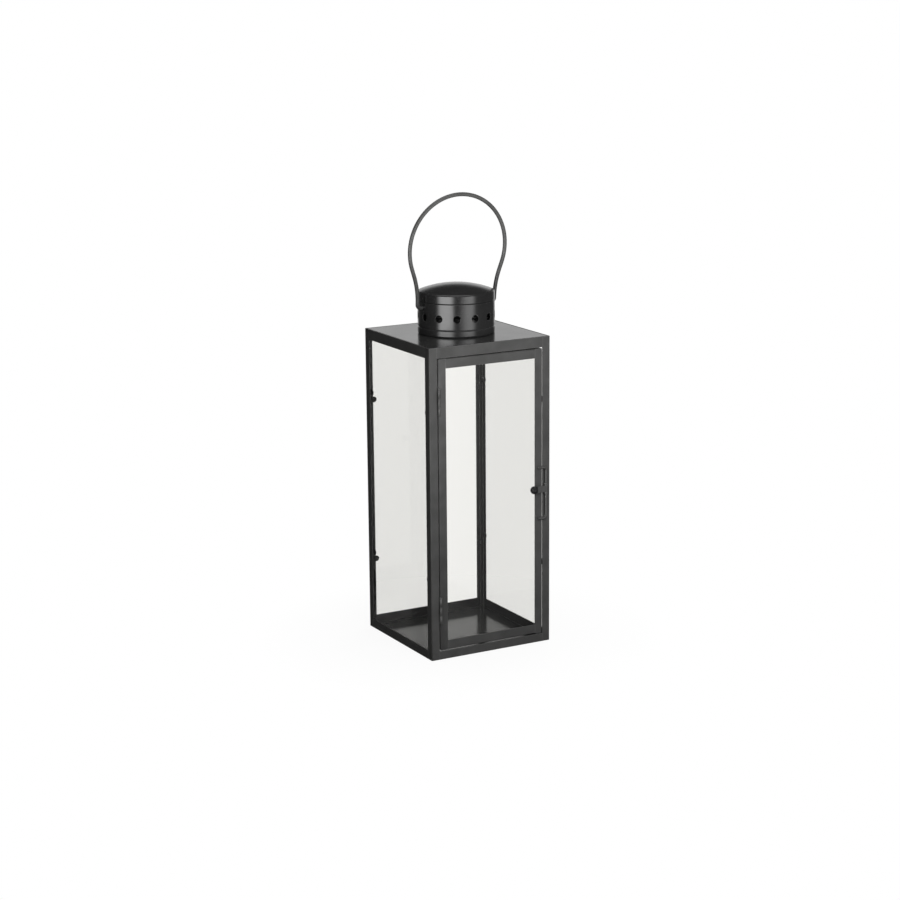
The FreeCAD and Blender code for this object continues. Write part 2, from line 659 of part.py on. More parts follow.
def make_latch_staple():
    """Bent wire on the latch stile; its legs lean out so that its upright stands clear of the post."""
    lean = "(Sizes.latch_stand - Sizes.latch_wire_radius)"
    width = "(Sizes.latch_foot + Sizes.latch_overhang)"
    leg = f"sqrt({width} ^ 2 + {lean} ^ 2)"
    straight = f"({leg} - Sizes.latch_bend)"
    upper = "(Sizes.latch_long - Sizes.latch_bend)"
    body = new_body("latch_staple")
    section = new_sketch(body, "staple_section", "YZ_Plane")
    draw_circle(section, "Sizes.latch_wire_radius")
    path = new_sketch(body, "staple_path", "XZ_Plane")
    draw(path, [("0", "0"), (straight, "0", "Sizes.latch_bend", "left"), (leg, "Sizes.latch_bend"),
                (leg, upper, "Sizes.latch_bend", "left"), (straight, "Sizes.latch_long"),
                ("0", "Sizes.latch_long")], closed=False)
    add_pipe(body, section, path)
    lean_angle = math.atan2(number(lean), number(width))
    place(body, x=f"{DOOR_RIGHT} - Sizes.latch_foot", y=f"-{HALF_DEPTH} - Sizes.latch_wire_radius",
          z=f"{LATCH_MIDDLE} - Sizes.latch_long / 2",
          x_dir=Vector(math.cos(lean_angle), -math.sin(lean_angle), 0),
          y_dir=Vector(math.sin(lean_angle), math.cos(lean_angle), 0))
    bind(body, Placement__Rotation__Angle=f"atan2({lean}; {width})")
    keep(body, "latch_staple")


def make_latch_lever():
    """Strip rolled into an eye round the staple, with an arm across the door and a tongue for the knob."""
    hole_radius = "(Sizes.latch_wire_radius + Sizes.running_clearance)"
    eye_radius = f"({hole_radius} + Sizes.lever_gauge)"
    body = new_body("latch_lever")
    eye = new_sketch(body, "lever_eye")
    draw_circle(eye, eye_radius)
    add_pad(body, eye, "Sizes.lever_tall", midplane=True)
    arm = new_sketch(body, "lever_arm")
    draw(arm, rectangle("-Sizes.lever_arm_long", f"-{eye_radius}", "0", f"-{hole_radius}"))
    add_pad(body, arm, "Sizes.lever_arm_tall", midplane=True)
    tongue = new_sketch(body, "lever_tongue")
    draw(tongue, rectangle("-Sizes.lever_reach", f"-{eye_radius}", "0", f"-{hole_radius}"))
    add_pad(body, tongue, "Sizes.lever_tongue_tall", midplane=True)
    hole = new_sketch(body, "lever_hole")
    draw_circle(hole, hole_radius)
    add_pocket(body, hole, "Sizes.lever_tall", midplane=True)
    place(body, LATCH_X, LATCH_Y, LEVER_MIDDLE)
    keep(body, "latch_lever")


def make_latch_knob():
    """Ball with a slot for the lever's tongue; the ball's seam is turned away from the slot."""
    strip_middle = "(Sizes.latch_wire_radius + Sizes.running_clearance + Sizes.lever_gauge / 2)"
    ball = doc.addObject("Part::Sphere", "knob_ball")
    bind(ball, Radius="Sizes.knob_radius")
    place(ball, x_dir=-X_AXIS, y_dir=-Y_AXIS)
    slot = doc.addObject("Part::Box", "knob_slot")
    slot_thick = "(Sizes.lever_gauge + 2 * Sizes.running_clearance)"
    slot_tall = "(Sizes.lever_tongue_tall + 2 * Sizes.running_clearance)"
    bind(slot, Length="2 * Sizes.knob_radius", Width=slot_thick, Height=slot_tall)
    place(slot, "-Sizes.running_clearance", f"-{slot_thick} / 2", f"-{slot_tall} / 2")
    knob = doc.addObject("Part::Cut", "knob_cut")
    knob.Base = ball
    knob.Tool = slot
    place(knob, f"{LATCH_X} - Sizes.lever_reach", f"{LATCH_Y} - {strip_middle}", LEVER_MIDDLE)
    keep(knob, "latch_knob")


# Chimney

def make_chimney_wall():
    """Rolled sleeve with a turned-in foot, a rolled groove, a ring of vents and a neck for the cap.

    The sleeve's seam lies half-way between the vent at the front and its neighbour.
    """
    outer = "Sizes.chimney_radius"
    inner = "(Sizes.chimney_radius - Sizes.chimney_gauge)"
    neck_out = "(Sizes.chimney_radius - Sizes.chimney_gauge - Sizes.cap_clearance)"
    neck_in = f"({neck_out} - Sizes.chimney_gauge)"
    neck_top = "(Sizes.seam_rise + Sizes.skirt_tall - Sizes.neck_gap)"
    shoulder = "(Sizes.seam_rise - Sizes.chimney_gauge)"
    groove_low = "(Sizes.band_tall - Sizes.groove_half)"
    groove_high = "(Sizes.band_tall + Sizes.groove_half)"
    flange = "(Sizes.chimney_radius - Sizes.chimney_gauge - Sizes.chimney_flange)"
    foot = "(Sizes.chimney_radius - Sizes.foot_bend)"
    body = new_body("chimney_wall")
    outline = new_sketch(body, "sleeve_outline", "XZ_Plane")
    draw(outline, [
        (flange, "0"), (foot, "0", "Sizes.foot_bend", "left"), (outer, "Sizes.foot_bend"),
        (outer, groove_low),
        (f"{outer} - Sizes.groove_deep", "Sizes.band_tall"), (outer, groove_high),
        (outer, shoulder), (neck_out, "Sizes.seam_rise"), (neck_out, neck_top),
        (neck_in, neck_top), (neck_in, "Sizes.seam_rise"), (inner, shoulder), (inner, groove_high),
        (f"{inner} - Sizes.groove_deep", "Sizes.band_tall"), (inner, groove_low),
        (inner, "Sizes.foot_bend", "Sizes.foot_bend - Sizes.chimney_gauge", "right"),
        (foot, "Sizes.chimney_gauge"), (flange, "Sizes.chimney_gauge"),
    ])
    seam_angle = "(90 - 180 / Sizes.vent_count)"
    outline.AttachmentOffset = Placement(Vector(), Rotation(-Y_AXIS, number(seam_angle)))
    bind(outline, AttachmentOffset__Rotation__Angle=seam_angle)
    add_revolution(body, outline)
    vent = new_sketch(body, "vent", "XZ_Plane")
    draw_circle(vent, "Sizes.vent_radius", y="Sizes.vent_rise")
    vent_cut = add_pocket(body, vent, "2 * Sizes.chimney_radius", reverse=True)
    vents = body.newObject("PartDesign::PolarPattern", "vents")
    vents.Originals = [vent_cut]
    vents.Axis = (origin_axis(body, "Z_Axis"), [""])
    vents.Angle = 360
    bind(vents, Occurrences="Sizes.vent_count")
    body.Tip = vents
    holes = new_sketch(body, "handle_holes", "YZ_Plane")
    draw_circle(holes, "Sizes.handle_wire_radius + Sizes.handle_hole_clearance", y="Sizes.handle_rise")
    add_pocket(body, holes, "4 * Sizes.chimney_radius", midplane=True)
    place(body, z=ROOF_TOP)
    keep(body, "chimney_wall")


def origin_axis(body, role):
    return next(item for item in body.Origin.OriginFeatures if item.Role == role)


def make_chimney_cap():
    """Skirt over the sleeve's neck, rounded into a shallow dome.

    The shoulder touches the skirt and the dome. Its middle is as far in as its radius, and the line
    from the dome's middle through the shoulder's middle meets the cap where the two rounds join.
    """
    outer = "Sizes.chimney_radius"
    inner = "(Sizes.chimney_radius - Sizes.chimney_gauge)"
    dome_inside = "(Sizes.dome_radius - Sizes.chimney_gauge)"
    across = "(Sizes.chimney_radius - Sizes.cap_shoulder)"
    apart = "(Sizes.dome_radius - Sizes.cap_shoulder)"
    above = f"sqrt({apart} ^ 2 - {across} ^ 2)"
    dome_z = f"(Sizes.skirt_tall - {above})"
    body = new_body("chimney_cap")
    outline = new_sketch(body, "cap_outline", "XZ_Plane")
    draw(outline, [
        (inner, "0"), (f"{outer} - Sizes.skirt_edge", "0", "Sizes.skirt_edge", "left"),
        (outer, "Sizes.skirt_edge"), (outer, "Sizes.skirt_tall", "Sizes.cap_shoulder", "left"),
        (f"Sizes.dome_radius * {across} / {apart}", f"{dome_z} + Sizes.dome_radius * {above} / {apart}",
         "Sizes.dome_radius", "left"),
        ("0", f"{dome_z} + Sizes.dome_radius"),
        ("0", f"{dome_z} + {dome_inside}", dome_inside, "right"),
        (f"{dome_inside} * {across} / {apart}", f"{dome_z} + {dome_inside} * {above} / {apart}",
         "Sizes.cap_shoulder - Sizes.chimney_gauge", "right"),
        (inner, "Sizes.skirt_tall"),
    ])
    add_revolution(body, outline)
    place(body, z=f"{ROOF_TOP} + Sizes.seam_rise")
    keep(body, "chimney_cap")


# Handle

def make_handle():
    """Bent wire: half of it is drawn, from the hooked end in the sleeve to the top of the loop."""
    leg_out = "(Sizes.chimney_radius + Sizes.handle_side_gap)"
    hook_x = "(Sizes.chimney_radius - Sizes.hook_inside)"
    # The straight between the leg's bend and the loop touches both circles, so its length and the
    # two radii set the height of the loop's middle.
    loop_rise = (f"(Sizes.leg_rise + sqrt((Sizes.loop_radius + Sizes.leg_bend) ^ 2 + Sizes.splay_long ^ 2"
                 f" - ({leg_out} + Sizes.leg_bend) ^ 2))")
    leg_x = number(leg_out)
    hook_bend = number("Sizes.hook_bend")
    leg_rise = number("Sizes.leg_rise")
    leg_bend = number("Sizes.leg_bend")
    loop_radius = number("Sizes.loop_radius")

    bend_middle = Vector(-leg_x - leg_bend, leg_rise, 0)
    loop_middle = Vector(0, number(loop_rise), 0)
    between = loop_middle - bend_middle
    lean = math.atan2(between.y, between.x) + math.asin((loop_radius + leg_bend) / between.Length)
    side = Vector(math.sin(lean), -math.cos(lean), 0)

    body = new_body("handle")
    section = new_sketch(body, "handle_section", "YZ_Plane")
    draw_circle(section, "Sizes.handle_wire_radius")
    section.AttachmentOffset = Placement()
    bind(section, AttachmentOffset__Base__z=f"-{hook_x}")

    path = new_sketch(body, "handle_path", "XZ_Plane")
    bend_start = Vector(-leg_x + hook_bend, 0, 0)
    leg_start = Vector(-leg_x, hook_bend, 0)
    leg_end = Vector(-leg_x, leg_rise, 0)
    splay_start = bend_middle + side * leg_bend
    splay_end = loop_middle - side * loop_radius
    top = loop_middle + Vector(0, loop_radius, 0)
    hook = path.addGeometry(Part.LineSegment(Vector(-number(hook_x), 0, 0), bend_start))
    hook_arc = path.addGeometry(arc_between(bend_start, leg_start, hook_bend, "right"))
    leg = path.addGeometry(Part.LineSegment(leg_start, leg_end))
    leg_arc = path.addGeometry(arc_between(leg_end, splay_start, leg_bend, "left"))
    splay = path.addGeometry(Part.LineSegment(splay_start, splay_end))
    loop = path.addGeometry(loop_arc(loop_middle, loop_radius, top, splay_end))
    for first, first_end, second, second_end in (
        (hook, 2, hook_arc, 2), (hook_arc, 1, leg, 1), (leg, 2, leg_arc, 1),
        (leg_arc, 2, splay, 1), (splay, 2, loop, 2),
    ):
        path.addConstraint(Sketcher.Constraint("Tangent", first, first_end, second, second_end))
    path.addConstraint(Sketcher.Constraint("Vertical", leg))
    path.addConstraint(Sketcher.Constraint("Horizontal", hook))
    pin_point(path, hook, 1, f"-{hook_x}", "0")
    tie(path, f"-{leg_out}", "DistanceX", -1, 1, leg, 1)
    tie(path, "Sizes.leg_rise", "DistanceY", -1, 1, leg, 2)
    tie(path, "Sizes.hook_bend", "Radius", hook_arc)
    tie(path, "Sizes.leg_bend", "Radius", leg_arc)
    tie(path, "Sizes.loop_radius", "Radius", loop)
    pin_point(path, loop, 3, "0", loop_rise)
    tie(path, "0", "DistanceX", -1, 1, loop, 1)
    half = add_pipe(body, section, path)
    whole = body.newObject("PartDesign::Mirrored", "handle_whole")
    whole.Originals = [half]
    whole.MirrorPlane = (origin_plane(body, "YZ_Plane"), [""])
    body.Tip = whole
    lean_over = math.radians(number("Sizes.handle_lean_angle"))
    place(body, z=HANDLE_Z, y_dir=Vector(0, math.cos(lean_over), math.sin(lean_over)))
    bind(body, Placement__Rotation__Angle="Sizes.handle_lean_angle")
    keep(body, "handle")


def loop_arc(centre, radius, first, last):
    """Arc that runs anticlockwise from the first point to the last."""
    angles = [math.atan2(point.y - centre.y, point.x - centre.x) for point in (first, last)]
    if angles[1] < angles[0]:
        angles[1] += 2 * math.pi
    return Part.ArcOfCircle(Part.Circle(centre, Z_AXIS, radius), *angles)


make_posts()
make_rails()
make_roof_pan()
make_floor_plate()
make_fixed_panes()
make_fixed_pane_clips()
make_door_frame()
make_door_pane()
make_door_clips()
make_hinge("upper", f"({DOOR_HIGH} - Sizes.upper_hinge_inset - Sizes.hinge_long)")
make_hinge("lower", f"({DOOR_LOW} + Sizes.lower_hinge_inset)")
make_latch_staple()
make_latch_lever()
make_latch_knob()
make_chimney_wall()
make_chimney_cap()
make_handle()
doc.recompute()

for item in doc.Objects:
    if "Invalid" in item.State or "Error" in item.State:
        raise RuntimeError(f"{item.Label} failed: {item.State}")
for label, item in nodes.items():
    if item.Shape.isNull() or not item.Shape.isValid():
        raise RuntimeError(f"{label} has no valid shape")

os.makedirs("parts", exist_ok=True)
for label, item in nodes.items():
    item.Shape.exportStep(f"parts/{label}.step")
    print(f"{label}: {len(item.Shape.Solids)} solids, {item.Shape.Volume:.1f} mm3")
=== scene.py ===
"""Candle lantern: finishes for the frame's painted steel and glass, with floor, light and camera."""

import json
import math

import bpy
from mathutils import Matrix, Vector

MM = 0.001

# Camera, fitted to the corners of the lantern's body in the photograph
CAMERA_TARGET = Vector((-0.0080, 0.0, 0.1853))
CAMERA_DISTANCE = 2.116
CAMERA_AZIMUTH = math.radians(-28.83)
CAMERA_ELEVATION = math.radians(13.11)
CAMERA_ROLL = math.radians(-0.50)
IMAGE_WIDTH = 900
FOCAL_PIXELS = 2195
SENSOR_WIDTH = 36

# Rounded edges of the sheet metal and of the glass
SHEET_STEEL = ("post", "rail", "stile", "roof_pan", "floor_plate", "clips", "leaf")
WELD_DISTANCE = 0.001 * MM
FLAT_ANGLE = math.radians(0.5)
STEEL_EDGE = 0.05 * MM
GLASS_EDGE = 0.25 * MM
EDGE_ANGLE = math.radians(35)
EDGE_SEGMENTS = 2
# A face whose normal points less than this across its pane is one of the narrow faces round it
NARROW_FACE = 0.5

# Each paint's colour, roughness, sheen (the strength of its gloss, 0.5 being plain lacquer), height of its
# orange peel, strength of its rubbed edges with their painted highlight, and how far its roughness wanders
PAINTS = {
    "charcoal_paint": ((0.050, 0.050, 0.049), 0.46, 0.50, 0.010 * MM, 0.7, 0.05),
    "smooth_paint": ((0.040, 0.040, 0.039), 0.16, 0.50, 0.0001 * MM, 0.5, 0.02),
    "floor_paint": ((0.040, 0.040, 0.039), 0.16, 1.0, 0.0001 * MM, 0.5, 0.02),
    "chimney_paint": ((0.014, 0.014, 0.014), 0.20, 1.0, 0.003 * MM, 0.5, 0.03),
    "wire_paint": ((0.048, 0.048, 0.047), 0.34, 0.8, 0.006 * MM, 0.3, 0.05),
    "handle_paint": ((0.085, 0.085, 0.083), 0.40, 0.8, 0.010 * MM, 0.3, 0.05),
    "knob_paint": ((0.012, 0.012, 0.012), 0.45, 0.50, 0.004 * MM, 0.2, 0.05),
}
# The share of a clear coat over a paint, and the two heights between which a paint goes from darker below to
# its own colour above
CLEAR_COAT = {"floor_paint": 1.0}
DARKER_BELOW_HEIGHTS = {"handle_paint": (0.330, 0.375)}
# Nodes whose paint isn't their slot's: the handle's wire is paler than the other wire, and the floor plate is
# glossier than the roof
OWN_FINISH = {"handle": "handle_paint", "floor_plate": "floor_paint"}

# What all paints share: a mottle, specks of dust, edges rubbed lighter in patches that also paint a highlight
# along them, and a skin of orange peel
MOTTLE_SIZE = 14 * MM
MOTTLE_DARK = 0.84
MOTTLE_LIGHT = 1.16
DUST_SIZE = 0.9 * MM
DUST_NOISE = (0.55, 0.75)
DUST_SHARE = 0.10
DUST_GREY = 0.12
# Grey that a paint goes to below its given heights
DARKER_BELOW_GREY = 0.022
# The rubbed edges, which also carry a painted highlight along them
RUB_AND_HIGHLIGHT_WIDTH = 0.7 * MM
RUB_AND_HIGHLIGHT_SAMPLES = 4
RUB_AND_HIGHLIGHT_COSINES = (0.75, 0.99)
RUB_AND_HIGHLIGHT_PATCH = 5 * MM
RUB_AND_HIGHLIGHT_LEAST = 0.25
RUB_AND_HIGHLIGHT_GREY = 0.20
CLOUD_SIZE = 30 * MM
PEEL_SIZE = 1.6 * MM

# Clear glass: its tint, what it lets through of a lamp's light, its haze and its ripple
GLASS_TINT = (0.990, 0.988, 0.972, 1.0)
GLASS_IOR = 1.5
GLASS_SHADOW = (0.40, 0.41, 0.39, 1.0)
HAZE_SIZE = 35 * MM
HAZE_NOISE = (0.35, 0.75)
HAZE_ROUGHNESS = (0.0, 0.012)
RIPPLE_SIZE = 60 * MM
RIPPLE_HEIGHT = 0.01 * MM

# Ground glass: fine marks of the grinding, darker and lighter, and a roughness that wanders
GROUND_DARK = (0.56, 0.61, 0.58, 1.0)
GROUND_LIGHT = (0.72, 0.77, 0.74, 1.0)
MARK_SIZE = 1.2 * MM
MARK_HEIGHT = 0.02 * MM
DULL_SIZE = 6 * MM
DULL_ROUGHNESS = (0.45, 0.65)

# Floor: how far it is white in its own right, from near the lantern, where its shadow shows, to farther out
FLOOR_SIZE = 6.0
FLOOR_DROP = 0.05 * MM
FLOOR_GREY = 0.86
FLOOR_REACH = (0.08, 0.20)
FLOOR_WHITE = (0.93, 1.0)

# Light. Each tall strip that gloss shows has its left edge, right edge and level. All edges are in degrees,
# the sides counted to the right from the door's side, and each fades from its first angle to its second.
# A mirror image within another one shows the strips with a higher top and brighter by the gain. The wall's
# sides are cosines of the angle from its middle
SOFT_LEVEL = 0.16
STUDIO_DARK = 0.06
STUDIO_STRIPS = (
    ((-90, -74), (-30, -48), 5.0),
    ((-26, 10), (34, 18), 2.6),
)
STRIP_FOOT = (-30, 3)
STRIP_TOP = (8, -4)
STRIP_TOP_TWICE = (40, 25)
STRIP_GAIN_TWICE = 1.2
WALL_SIDES = (0.80, 0.96)
WALL_TOP = (22, 12)
WALL_LEVEL = 0.79
CEILING_FOOT = (54, 72)
CEILING_LEVEL = 1.2

# Square soft lamps: place, the point that each faces, side, and what it adds there to a surface that faces it
LAMPS = {
    "front_lamp": ((-0.07, -0.42, 0.37), (-0.06, -0.065, 0.29), 0.25, 1.90),
    "back_lamp": ((0.44, 0.44, 0.14), (0.03, 0.03, 0.15), 0.25, 1.1),
    "top_lamp": ((0.05, 0.10, 1.0), (0.0, 0.0, 0.3), 0.4, 0.15),
}

# Where most values of a noise lie
NOISE_RANGE = (0.3, 0.7)
# Halfway below one and two, to compare a path's count of bounces with
ONE_BOUNCE = 0.5
TWO_BOUNCES = 1.5

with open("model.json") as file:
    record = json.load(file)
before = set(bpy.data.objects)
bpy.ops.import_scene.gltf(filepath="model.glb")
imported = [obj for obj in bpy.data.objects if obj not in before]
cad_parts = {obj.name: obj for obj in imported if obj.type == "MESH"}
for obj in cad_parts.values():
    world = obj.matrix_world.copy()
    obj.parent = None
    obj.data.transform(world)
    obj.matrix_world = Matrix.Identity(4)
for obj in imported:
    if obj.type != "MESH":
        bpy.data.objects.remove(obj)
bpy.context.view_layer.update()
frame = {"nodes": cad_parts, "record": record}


# Node helpers

def empty_tree(owner, output):
    """The node tree of a material or a world, with nothing in it but its output."""
    owner.use_nodes = True
    tree = owner.node_tree
    tree.nodes.clear()
    tree.nodes.new(output)
    return tree


def new_material(name):
    """A material, and its node tree with nothing in it but its output."""
    material = bpy.data.materials.new(name)
    return material, empty_tree(material, "ShaderNodeOutputMaterial")


def show(tree, shader):
    """Link a shader to the tree's output, which is its first node."""
    tree.links.new(shader, tree.nodes[0].inputs["Surface"])


def add(tree, kind, settings=None, numbered=None, **named):
    """Add a node. Its sockets are given by name, or by number where names repeat, and each takes another
    node's output or a plain value."""
    node = tree.nodes.new(kind)
    for name, value in (settings or {}).items():
        setattr(node, name, value)
    sockets = dict(numbered or {})
    sockets.update((name.replace("_", " "), value) for name, value in named.items())
    for key, value in sockets.items():
        if isinstance(value, bpy.types.NodeSocket):
            tree.links.new(value, node.inputs[key])
        else:
            node.inputs[key].default_value = value
    return node


def math_node(tree, operation, first, second=0.0):
    return add(tree, "ShaderNodeMath", {"operation": operation}, {0: first, 1: second}).outputs[0]


def vector_value(tree, operation, *vectors):
    """The number that an operation makes of one or two vectors."""
    node = add(tree, "ShaderNodeVectorMath", {"operation": operation}, dict(enumerate(vectors)))
    return node.outputs["Value"]


def mix_colour(tree, factor, first, second):
    return add(tree, "ShaderNodeMix", {"data_type": "RGBA"}, {0: factor, 6: first, 7: second}).outputs[2]


def mix_level(tree, factor, first, second):
    return add(tree, "ShaderNodeMix", numbered={0: factor, 2: first, 3: second}).outputs[0]


def mix_shader(tree, factor, first, second):
    sockets = {0: factor, 1: first.outputs[0], 2: second.outputs[0]}
    return add(tree, "ShaderNodeMixShader", numbered=sockets)


def spread(tree, value, onto, source=NOISE_RANGE):
    """Map a value from one range, by default that of a noise, onto another."""
    return add(tree, "ShaderNodeMapRange", Value=value, From_Min=source[0], From_Max=source[1],
               To_Min=onto[0], To_Max=onto[1]).outputs["Result"]


def smooth_step(tree, value, start, end):
    """Goes smoothly from 0 at the start value to 1 at the end value, which may be the lower one."""
    return add(tree, "ShaderNodeMapRange", {"interpolation_type": "SMOOTHSTEP"}, Value=value,
               From_Min=start, From_Max=end).outputs["Result"]


def object_place(tree):
    return tree.nodes.new("ShaderNodeTexCoord").outputs["Object"]


def light_path(tree):
    return tree.nodes.new("ShaderNodeLightPath").outputs


def noise(tree, place, size, detail=2.0):
    """Noise whose features are about size metres across."""
    return add(tree, "ShaderNodeTexNoise", Vector=place, Scale=1 / size, Detail=detail).outputs["Fac"]


def bump(tree, height, distance):
    """Normal of a surface with hills that follow a noise and are up to distance metres high."""
    return add(tree, "ShaderNodeBump", Height=height, Strength=1.0, Distance=distance).outputs["Normal"]


def grey(value):
    return (value, value, value, 1.0)


# Finishes

def rub_and_highlight_mask(tree, place):
    """Runs along the outer edges, broken up by noise: 0 on the flats, up to 1 on an edge. It marks both
    rubbed wear and a painted highlight along the edges.
    """
    rounded = add(tree, "ShaderNodeBevel", {"samples": RUB_AND_HIGHLIGHT_SAMPLES}, Radius=RUB_AND_HIGHLIGHT_WIDTH).outputs["Normal"]
    flat = tree.nodes.new("ShaderNodeNewGeometry").outputs["Normal"]
    turned = spread(tree, vector_value(tree, "DOT_PRODUCT", rounded, flat), (1.0, 0.0), RUB_AND_HIGHLIGHT_COSINES)
    broken = spread(tree, noise(tree, place, RUB_AND_HIGHLIGHT_PATCH, detail=3.0), (RUB_AND_HIGHLIGHT_LEAST, 1.0))
    return math_node(tree, "MULTIPLY", turned, broken)


def paint(name, colour, roughness, sheen, peel, rub_and_highlight_strength, clouds):
    """Sprayed paint: a faint mottle, fine orange peel and edges rubbed a little lighter, with a painted
    highlight along them.
    """
    material, tree = new_material(name)
    place = object_place(tree)
    mottle = noise(tree, place, MOTTLE_SIZE, detail=4.0)
    speckle = noise(tree, place, DUST_SIZE)
    dark = tuple(MOTTLE_DARK * part for part in colour) + (1.0,)
    light = tuple(MOTTLE_LIGHT * part for part in colour) + (1.0,)
    sprayed = mix_colour(tree, spread(tree, mottle, (0.0, 1.0)), dark, light)
    dust = spread(tree, speckle, (0.0, DUST_SHARE), DUST_NOISE)
    sprayed = mix_colour(tree, dust, sprayed, grey(DUST_GREY))
    # Darker towards the bottom, below the given heights
    if name in DARKER_BELOW_HEIGHTS:
        height = add(tree, "ShaderNodeSeparateXYZ", Vector=place).outputs["Z"]
        darker_below = spread(tree, height, (1.0, 0.0), DARKER_BELOW_HEIGHTS[name])
        sprayed = mix_colour(tree, darker_below, sprayed, grey(DARKER_BELOW_GREY))
    # Edges lighter: partly rubbed wear, partly a painted highlight along them
    rub_and_highlight_share = math_node(tree, "MULTIPLY", rub_and_highlight_mask(tree, place), rub_and_highlight_strength)
    rubbed_and_highlit = mix_colour(tree, rub_and_highlight_share, sprayed, grey(RUB_AND_HIGHLIGHT_GREY))
    cloud = noise(tree, place, CLOUD_SIZE, detail=3.0)
    gloss = spread(tree, cloud, (roughness - clouds, roughness + clouds))
    skin = bump(tree, noise(tree, place, PEEL_SIZE), peel)
    shader = add(tree, "ShaderNodeBsdfPrincipled", Base_Color=rubbed_and_highlit, Roughness=gloss, Normal=skin,
                 Specular_IOR_Level=sheen, Coat_Weight=CLEAR_COAT.get(name, 0.0), Coat_Roughness=roughness)
    show(tree, shader.outputs["BSDF"])
    return material


def clear_glass(name):
    """Float glass with a faint warm tint; lamps shine through it at a reduced strength."""
    material, tree = new_material(name)
    place = object_place(tree)
    haze = noise(tree, place, HAZE_SIZE, detail=3.0)
    smear = spread(tree, haze, HAZE_ROUGHNESS, HAZE_NOISE)
    ripple = bump(tree, noise(tree, place, RIPPLE_SIZE, detail=1.0), RIPPLE_HEIGHT)
    glass = add(tree, "ShaderNodeBsdfPrincipled", Base_Color=GLASS_TINT, Roughness=smear, Normal=ripple,
                IOR=GLASS_IOR, Transmission_Weight=1.0)
    clear = add(tree, "ShaderNodeBsdfTransparent", Color=GLASS_SHADOW)
    mixed = mix_shader(tree, light_path(tree)["Is Shadow Ray"], glass, clear)
    show(tree, mixed.outputs["Shader"])
    return material


def ground_glass(name):
    """The panes' ground edges: pale, dull and a little green, with the marks of the grinding."""
    material, tree = new_material(name)
    place = object_place(tree)
    marks = noise(tree, place, MARK_SIZE, detail=3.0)
    ground = mix_colour(tree, spread(tree, marks, (0.0, 1.0)), GROUND_DARK, GROUND_LIGHT)
    dull = spread(tree, noise(tree, place, DULL_SIZE), DULL_ROUGHNESS)
    shader = add(tree, "ShaderNodeBsdfPrincipled", Base_Color=ground, Roughness=dull,
                 Normal=bump(tree, marks, MARK_HEIGHT))
    show(tree, shader.outputs["BSDF"])
    return material


finishes = {name: paint(name, *values) for name, values in PAINTS.items()}
finishes["clear_glass"] = clear_glass("clear_glass")
finishes["ground_glass"] = ground_glass("ground_glass")


# Nodes of the frame

def round_edges(node, width):
    """Weld the imported corners, join the triangles of each flat face and round the sharp edges."""
    weld = node.modifiers.new("weld", "WELD")
    weld.merge_threshold = WELD_DISTANCE
    flat = node.modifiers.new("flat", "DECIMATE")
    flat.decimate_type = "DISSOLVE"
    flat.angle_limit = FLAT_ANGLE
    bevel = node.modifiers.new("edge", "BEVEL")
    bevel.width = width
    bevel.segments = EDGE_SEGMENTS
    bevel.limit_method = "ANGLE"
    bevel.angle_limit = EDGE_ANGLE
    bevel.harden_normals = True


def grind_edges(pane):
    """Give the narrow faces round a pane the finish of ground glass."""
    pane.data.materials.append(finishes["ground_glass"])
    thin = min(range(3), key=lambda axis: pane.dimensions[axis])
    for face in pane.data.polygons:
        if abs(face.normal[thin]) < NARROW_FACE:
            face.material_index = 1


def dress_nodes():
    """Give each node of the frame its finish and, on sheet metal and glass, its rounded edges."""
    for part in frame["record"]["subparts"]:
        name = part["node"]
        node = frame["nodes"][name]
        node.data.materials.clear()
        node.data.materials.append(finishes[OWN_FINISH.get(name, part["material_slot"])])
        if name.endswith("_pane"):
            grind_edges(node)
            round_edges(node, GLASS_EDGE)
        elif any(word in name for word in SHEET_STEEL):
            round_edges(node, STEEL_EDGE)


# Floor, light and camera

def place_in_scene(name, data):
    """A new object in the scene that holds a mesh, a lamp or a camera."""
    holder = bpy.data.objects.new(name, data)
    bpy.context.scene.collection.objects.link(holder)
    return holder


def floor_white(name):
    """White to the eye and through glass, matt to the lamps, and absent from what gloss mirrors."""
    material, tree = new_material(name)
    whiten = spread(tree, vector_value(tree, "LENGTH", object_place(tree)), FLOOR_WHITE, FLOOR_REACH)
    path = light_path(tree)
    seen = math_node(tree, "MAXIMUM", path["Is Camera Ray"], path["Is Transmission Ray"])
    bounces = math_node(tree, "ADD", path["Glossy Depth"], path["Diffuse Depth"])
    straight = math_node(tree, "LESS_THAN", bounces, ONE_BOUNCE)
    share = math_node(tree, "MULTIPLY", math_node(tree, "MULTIPLY", seen, straight), whiten)
    matt = add(tree, "ShaderNodeBsdfDiffuse", Color=grey(FLOOR_GREY))
    white = add(tree, "ShaderNodeEmission", Color=grey(1.0), Strength=1.0)
    ground = mix_shader(tree, share, matt, white)
    mirrored = math_node(tree, "GREATER_THAN", path["Glossy Depth"], ONE_BOUNCE)
    absent = add(tree, "ShaderNodeBsdfTransparent")
    show(tree, mix_shader(tree, mirrored, ground, absent).outputs["Shader"])
    return material


def add_floor():
    """Pale floor that keeps a soft shadow round the lantern; gloss and the reflections in the glass show the
    studio in its place."""
    half = FLOOR_SIZE / 2
    mesh = bpy.data.meshes.new("floor")
    mesh.from_pydata([(-half, -half, 0), (half, -half, 0), (half, half, 0), (-half, half, 0)], [],
                     [(0, 1, 2, 3)])
    mesh.materials.append(floor_white("floor_white"))
    floor = place_in_scene("floor", mesh)
    floor.location.z = -FLOOR_DROP
    floor.visible_glossy = False
    floor.visible_diffuse = False


def fade(tree, angle, edge):
    """Goes smoothly from 0 at the first angle of an edge, in degrees, to 1 at its second."""
    return smooth_step(tree, angle, math.radians(edge[0]), math.radians(edge[1]))


def window(tree, angle, low, high):
    """1 between two edges, each of which fades from its first angle to its second."""
    return math_node(tree, "MULTIPLY", fade(tree, angle, low), fade(tree, angle, high))


